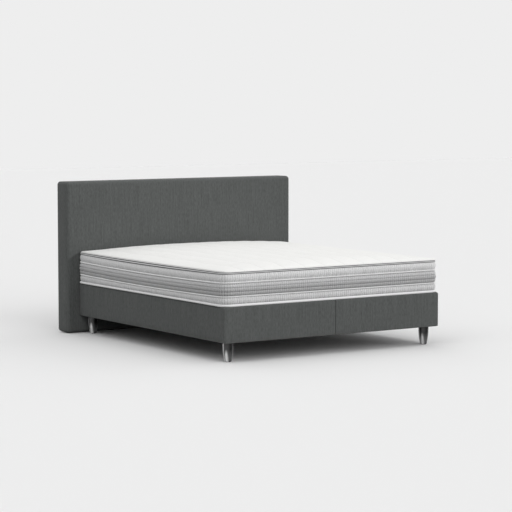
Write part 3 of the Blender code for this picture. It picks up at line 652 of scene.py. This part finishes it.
# The top panel: white knit quilted onto soft foam in long wavy channels. A cloth simulation fills
# the channels between their held seams, and a small round rolls the panel down onto the tape.
quilt_count = 11
quilt_pitch = 2 * half_width / quilt_count
quilt_wave = 0.014
quilt_wave_length = 0.50
seam_half_width = 0.0022
stitch_length = 0.006
knit_pitch = 0.0035
panel_z = 0.6030
edge_round = 0.0085
held_rim = 0.012
filling_frames = 20
filling_pressure = 7.0
filling_cap = 0.0095

white_knit = Finish("white_quilted_knit")
u, v, _ = white_knit.parts(white_knit.place("UV"))
loops = u.wave(knit_pitch) * v.wave(knit_pitch)
cloudy = white_knit.grain(white_knit.vector(u * 25.0, v * 25.0), 1.0, 3.0)
# Painted shade darkens the colour along each seam line, and more at each stitch, where the bump is also
# dented.
seam = ((u + half_width) / quilt_pitch + 0.5).math("FRACT").ridge(0.5, seam_half_width / quilt_pitch)
stitches = v.wave(stitch_length) > -0.3
shade = 0.98 + cloudy * 0.04 + loops * 0.01 - seam * 0.22 - seam * stitches * 0.10
white_knit.set(Base_Color=white_knit.tint((0.838, 0.837, 0.821), shade),
               Roughness=0.9, Specular_IOR_Level=0.2, Sheen_Weight=0.12)
white_knit.relief(loops + cloudy * 0.5 - seam * stitches * 2.0, 0.3, 0.0005)


def eased(reach, width):
    """0 at an edge, rising ever more gently to 1 at that width from it."""
    return 1 - (1 - np.clip(reach / width, 0, 1)) ** 2


def grid_lines(low, high, count):
    """Even grid lines with a closer set in the round of each edge."""
    edge = np.array([0.0010, 0.0024, 0.0042, 0.0066])
    lines = np.concatenate([np.linspace(low, high, count + 1), low + edge, high - edge])
    return np.unique(np.round(lines, 7))


def into_corner(x, y):
    """Draw the square corners of the grid onto the rounded ones, square rings to round rings."""
    middle = (mattress_low[1] + mattress_high[1]) / 2
    radius = np.where(y < middle, foot_radius, head_radius)
    dx = np.abs(x) - (half_width - radius)
    dy = np.abs(y - middle) - (mattress_length / 2 - radius)
    inside = (dx > 0) & (dy > 0)
    scale = np.where(inside, np.maximum(dx, dy) / np.maximum(np.hypot(dx, dy), 1e-9), 1.0)
    new_x = np.where(inside, np.sign(x) * (half_width - radius + dx * scale), x)
    new_y = np.where(inside, middle + np.sign(y - middle) * (mattress_length / 2 - radius + dy * scale), y)
    return new_x, new_y


def closed_pad(name, upper, lower, along_u, along_v):
    """A closed piece between an upper and a lower grid of points, which share the upper one's rim.

    The upper grid's points come first, row by row, then those of the lower grid inside its rim. The
    rows run towards +X and the columns towards +Y.
    """
    rows, columns = upper.shape[:2]
    above = np.arange(rows * columns).reshape(rows, columns)
    below = above.copy()
    below[1:-1, 1:-1] = above.size + np.arange((rows - 2) * (columns - 2)).reshape(rows - 2, -1)
    front, back = (
        np.stack([index[:-1, :-1], index[1:, :-1], index[1:, 1:], index[:-1, 1:]], -1).reshape(-1, 4)
        for index in (above, below))
    corners = np.concatenate([front, back[:, ::-1]])
    points = np.concatenate([upper.reshape(-1, 3), lower[1:-1, 1:-1].reshape(-1, 3)])
    cloth_map = np.stack(np.meshgrid(along_u, along_v, indexing="ij"), -1).reshape(-1, 2)
    return quad_piece(name, points, corners, cloth_map[np.concatenate([front, front[:, ::-1]])])


lines_x = grid_lines(-half_width, half_width, 14 * quilt_count)
lines_y = grid_lines(mattress_low[1], mattress_high[1], 168)
px, py = np.meshgrid(lines_x, lines_y, indexing="ij")
from_foot, from_head = py - mattress_low[1], mattress_high[1] - py
edge_reach = np.minimum(half_width - np.abs(px), np.minimum(from_foot, from_head))
across = np.abs(px) / half_width
along = from_foot / mattress_length
arch = 4 * along * (1 - along)
top_x, top_y = into_corner(px, py)
top_x += quilt_wave * np.clip(edge_reach / 0.20, 0, 1) * np.sin(2 * np.pi * top_y / quilt_wave_length)

# The underside is flat but for a small sag of the long sides. On it stand a quarter round at the edge and
# a crown across the bed that dies at both ends, and the quilting draws all but the edge down.
underside_z = panel_z - 0.0042 * np.clip((across - 0.93) / 0.07, 0, 1) * arch
roll = np.clip(edge_reach / edge_round, 0, 1)
top_z = underside_z + 0.0075 * np.sqrt(1 - (1 - roll) ** 2) + 0.004 * eased(edge_reach, 0.035)
top_z += 0.0305 * (1 - across ** 2.8) * eased(from_head, 0.10) * eased(from_foot, 0.24)
top_z += 0.010 * (1 - across ** 2) * arch
top_z -= 0.0070 * eased(edge_reach, 0.06)

top = closed_pad("quilted_top", np.stack([top_x, top_y, top_z], -1),
                 np.stack([top_x, top_y, underside_z], -1), lines_x, lines_y)
places = np.empty(3 * len(top.data.vertices), np.float32)
top.data.vertices.foreach_get("co", places)
places = places.reshape(-1, 3)

# The free points are those of the upper grid between the seams and inside the edge round.
channel = (px + half_width) / quilt_pitch
free = (np.abs(channel - np.round(channel)) > 1e-3) & (edge_reach > held_rim)
free_points = np.flatnonzero(free)
held = np.ones(len(places), bool)
held[free_points] = False


def cloth_filling(piece, held, cap):
    """Where each point goes when the piece is blown up as cloth with the held points pinned.

    The move is kept in its direction, and its length becomes cap times the hyperbolic tangent of
    the length in caps, so that no point goes further than cap.
    """
    piece.vertex_groups.new(name="held").add(np.flatnonzero(held).tolist(), 1.0, "REPLACE")
    cloth = piece.modifiers.new("filling", "CLOTH")
    cloth.settings.quality = 4
    cloth.settings.vertex_group_mass = "held"
    cloth.settings.use_pressure = True
    cloth.settings.uniform_pressure_force = filling_pressure
    cloth.settings.effector_weights.gravity = 0.0
    cloth.point_cache.frame_start, cloth.point_cache.frame_end = 1, filling_frames
    for number in range(1, filling_frames + 1):
        bpy.context.scene.frame_set(number)
    blown = piece.evaluated_get(bpy.context.evaluated_depsgraph_get()).data
    before, after = np.empty((2, 3 * len(piece.data.vertices)), np.float32)
    piece.data.vertices.foreach_get("co", before)
    blown.vertices.foreach_get("co", after)
    piece.modifiers.remove(cloth)
    piece.vertex_groups.clear()
    bpy.context.scene.frame_set(1)
    move = (after - before).reshape(-1, 3)
    length = np.maximum(np.linalg.norm(move, axis=1, keepdims=True), 1e-9)
    return move / length * cap * np.tanh(length / cap)


places += cloth_filling(top, held, filling_cap)
top.data.vertices.foreach_set("co", places.reshape(-1))
top.data.update()
top.data.materials.append(white_knit.material)
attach(top, "mattress")
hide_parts("mattress_top_panel")

# The underside of the mattress: the same knit, plain, laid over its foam inside the round binding.
low, high = np.array(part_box("mattress_bottom_panel"))
underside = soft_block("plain_underside", low, high, (0.050, 0.050, 0.003), (0.050, 0.030, 0.003), 0.060)
underside.data.materials.append(white_knit.material)
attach(underside, "mattress")
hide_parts("mattress_bottom_panel")

# Under each box: black lining cloth, drawn flat over the frame and stapled along its four edges.
lining_thickness = 0.0008
lining_droop = 0.0025
staple_half_length = 0.005
staple_half_width = 0.0004
staple_half_height = 0.0003
staple_inset = 0.010
staple_end_gap = 0.03

black_cloth = Finish("black_lining_cloth")
fibres = black_cloth.grain(black_cloth.place("Object"), 350.0, 4.0)
black_cloth.set(Base_Color=black_cloth.tint((0.020, 0.020, 0.021), 0.7 + fibres * 0.6), Roughness=0.95)
black_cloth.relief(fibres, 0.4, 0.0006)

zinc = Finish("zinc_plated_steel")
spangle = zinc.grain(zinc.place("Object"), 45.0, 3.0)
zinc.set(Base_Color=zinc.tint((0.60, 0.61, 0.62), 0.9 + spangle * 0.15), Metallic=1.0,
         Roughness=0.28 + spangle * 0.2)


def thin_sheet(name, low, high, thickness, droop, spacing=0.03):
    """A closed thin sheet between two corners, hanging between its edges by a half sine each way.

    Its two faces lie half the thickness above and below that surface, and close on it at the rim.
    """
    rim = np.array([0.0, thickness])
    lines = []
    for k in (0, 1):
        count = max(2, round((high[k] - low[k]) / spacing))
        inner = np.linspace(low[k], high[k], count + 1)[1:-1]
        lines.append(np.concatenate([low[k] + rim, inner, high[k] - rim[::-1]]))
    x, y = lines
    px, py = np.meshgrid(x, y, indexing="ij")
    hang = droop * np.sin(np.pi * (px - x[0]) / (x[-1] - x[0]))
    hang *= np.sin(np.pi * (py - y[0]) / (y[-1] - y[0]))
    middle = np.stack([px, py, low[2] + thickness / 2 - hang], -1)
    half = np.zeros_like(middle)
    half[1:-1, 1:-1, 2] = thickness / 2
    return closed_pad(name, middle + half, middle - half, x, y)


def spots(x, y, z):
    """Every point whose places along X, Y and Z are among the given ones."""
    return np.stack(np.meshgrid(x, y, z, indexing="ij"), -1).reshape(-1, 3)


def staples(name, centres, half_size):
    """Wire staples driven in at the centres: small blocks that reach half_size from there each way."""
    corner = spots((-1, 1), (-1, 1), (-1, 1))
    sides = np.array([[0, 1, 3, 2], [4, 6, 7, 5], [0, 4, 5, 1], [2, 3, 7, 6], [0, 2, 6, 4], [1, 5, 7, 3]])
    corners = sides[None] + 8 * np.arange(len(centres))[:, None, None]
    piece = quad_piece(name, centres[:, None] + corner[None] * np.array(half_size), corners.reshape(-1, 4),
                       smooth=False)
    piece.data.materials.append(zinc.material)
    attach(piece, "base")


for side in ("left", "right"):
    low, high = np.array(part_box("box_dust_cover_" + side))
    lining = thin_sheet("lining_cloth_" + side, low, high, lining_thickness, lining_droop)
    lining.data.materials.append(black_cloth.material)
    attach(lining, "base")
    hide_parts("box_dust_cover_" + side)
    along_x = np.linspace(low[0] + staple_end_gap, high[0] - staple_end_gap, 15)
    along_y = np.linspace(low[1] + staple_end_gap, high[1] - staple_end_gap, 33)
    z = low[2] - staple_half_height
    ends = (low[1] + staple_inset, high[1] - staple_inset)
    staples("staples_ends_" + side, spots(along_x, ends, z),
            (staple_half_length, staple_half_width, staple_half_height))
    sides = (low[0] + staple_inset, high[0] - staple_inset)
    staples("staples_sides_" + side, spots(sides, along_y, z),
            (staple_half_width, staple_half_length, staple_half_height))

# The back of the headboard: its back board is stapled all round over the turned edge of the cover.
back_staple_inset = 0.012
back_staple_end_gap = 0.05
low, high = np.array(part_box("headboard_back_board"))
along_x = np.linspace(low[0] + back_staple_end_gap, high[0] - back_staple_end_gap, 31)
along_z = np.linspace(low[2] + back_staple_end_gap, high[2] - back_staple_end_gap, 17)
y = high[1] + 0.0002
ends = (low[2] + back_staple_inset, high[2] - back_staple_inset)
staples("staples_back_ends", spots(along_x, y, ends),
        (staple_half_length, staple_half_height, staple_half_width))
sides = (low[0] + back_staple_inset, high[0] - back_staple_inset)
staples("staples_back_sides", spots(sides, y, along_z),
        (staple_half_width, staple_half_height, staple_half_length))

# The legs: turned steel, polished bright, wider at the top, screwed into the boxes' corners. Their colour
# holds painted reflections: bands round each leg, two painted highlights that widen towards the floor, and
# a painted glow low down.
leg_top_radius = 0.0365
leg_foot_radius = 0.0238
leg_top_z = 0.1300
leg_foot_z = 0.0033
painted_highlight_top_z = 0.088
painted_glow_top_z = 0.086

chrome = Finish("polished_metal")
where = chrome.place("UV")
u, v, _ = chrome.parts(where)
turn = u / (2 * math.pi * leg_top_radius)
# Levels of painted reflection round each leg, by the share of a turn.
stops = ((0.0, 0.34), (0.08, 0.14), (0.16, 0.50), (0.24, 0.20), (0.33, 0.30), (0.44, 0.85), (0.49, 0.80),
         (0.515, 0.10), (0.56, 0.065), (0.62, 0.065), (0.68, 0.04), (0.72, 0.010), (0.78, 0.010),
         (0.815, 0.04), (0.845, 0.34), (0.91, 0.46), (1.0, 0.34))
painted_reflection_bands = chrome.node("ShaderNodeValToRGB", {"stops": [(at, grey(level)) for at, level in stops]},
                    {"Fac": turn})
# Two painted highlights widen towards the floor, and a painted glow pales the leg low down; both mix the
# colour towards pale grey.
below = painted_highlight_top_z - v
painted_highlight = (turn.ridge(0.600, 0.030 + below) + turn.ridge(0.12, 0.030 + below)) * (below * 32.0).clipped()
painted_glow = ((painted_glow_top_z - v) * 18.0).clipped() * 0.13
smears = chrome.grain(where, 60.0, 3.0)
chrome.set(Base_Color=chrome.dye(painted_reflection_bands, grey(0.86), (painted_highlight + painted_glow).clipped()), Metallic=0.60,
           Roughness=0.07 + smears * 0.06)


def turned_piece(name, profile, centre, steps=96):
    """A profile of (radius, height) points spun about a vertical axis, top to bottom."""
    turns = np.linspace(0, 2 * np.pi, steps, endpoint=False)
    radius, height = profile[:, 0], profile[:, 1]
    grid = np.stack([centre[0] + np.outer(np.cos(turns), radius),
                     centre[1] + np.outer(np.sin(turns), radius),
                     np.broadcast_to(height, (steps, len(height)))], -1)
    girth = np.linspace(0, 2 * np.pi, steps + 1) * radius.max()
    piece = skin(name, grid[:, ::-1], True, False, girth, height[::-1])
    weld(piece)
    return piece


for corner in ("foot_left", "foot_right", "head_left", "head_right"):
    low, high = np.array(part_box("leg_" + corner))
    share = np.linspace(1, 0, 41)
    radius = leg_foot_radius + (leg_top_radius - leg_foot_radius) * (1 - (1 - share) ** 2.4)
    height = leg_foot_z + (leg_top_z - leg_foot_z) * share
    rim = np.array([[0.0, leg_top_z], [0.0345, leg_top_z], [0.0360, 0.1295]])
    foot = np.array([[0.0232, 0.0036], [0.0222, leg_foot_z], [0.0, leg_foot_z]])
    wall = np.stack([radius, height], 1)[1:-1]
    leg = turned_piece("polished_leg_" + corner, np.concatenate([rim, wall, foot]), (low + high)[:2] / 2)
    leg.data.materials.append(chrome.material)
    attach(leg, "base")
    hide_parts("leg_" + corner)

# What the covers hide, and the plain fittings under the boxes: planed pine, board, foam, felt,
# pocketed springs, black cloth, black plastic and zinc-plated steel on the frame's own solids.
pine = Finish("planed_pine")
x, y, z = pine.parts(pine.place("Object"))
rings = pine.grain(pine.vector(x * 30.0, y * 2.5, z * 30.0), 1.0, 4.0)
pine.set(Base_Color=pine.dye(colour(0.62, 0.44, 0.25), colour(0.46, 0.29, 0.14), rings), Roughness=0.65)
pine.relief(rings, 0.2, 0.0005)

board = Finish("raw_board")
chips = board.grain(board.place("Object"), 220.0, 4.0)
board.set(Base_Color=board.dye(colour(0.36, 0.26, 0.16), colour(0.24, 0.16, 0.09), chips), Roughness=0.85)

soft_foam = Finish("upholstery_foam")
pores = soft_foam.grain(soft_foam.place("Object"), 400.0, 3.0)
soft_foam.set(Base_Color=soft_foam.tint((0.78, 0.76, 0.66), 0.9 + pores * 0.2), Roughness=0.95)
soft_foam.relief(pores, 0.4, 0.001)

needled_felt = Finish("needled_felt")
fibres = needled_felt.grain(needled_felt.place("Object"), 300.0, 4.0)
needled_felt.set(Base_Color=needled_felt.dye(colour(0.20, 0.20, 0.21), colour(0.52, 0.50, 0.47), fibres),
                 Roughness=1.0)

pocket_cloth = Finish("spring_pocket_cloth")
dots = pocket_cloth.node("ShaderNodeTexVoronoi", {"feature": "F1"},
                         {"Vector": pocket_cloth.place("Object"), "Scale": 500.0})
pocket_cloth.set(Base_Color=pocket_cloth.tint((0.75, 0.76, 0.78), 0.9 + dots * 0.15), Roughness=0.9)

black_plastic = Finish("black_plastic")
speckle = black_plastic.grain(black_plastic.place("Object"), 700.0, 2.0)
black_plastic.set(Base_Color=colour(0.022, 0.022, 0.023), Roughness=0.40 + speckle * 0.12)
black_plastic.relief(speckle, 0.15, 0.0003)

inner_finishes = {
    "pine": pine, "fibreboard": board, "foam": soft_foam, "felt": needled_felt,
    "pocket_cloth": pocket_cloth, "black_cloth": black_cloth, "black_plastic": black_plastic,
    "zinc_steel": zinc, "white_knit": white_knit,
}
for entry in frame["record"]["subparts"]:
    finish = inner_finishes.get(entry["material_slot"])
    node = frame["nodes"][entry["node"]]
    if finish:
        node.data.materials.clear()
        node.data.materials.append(finish.material)
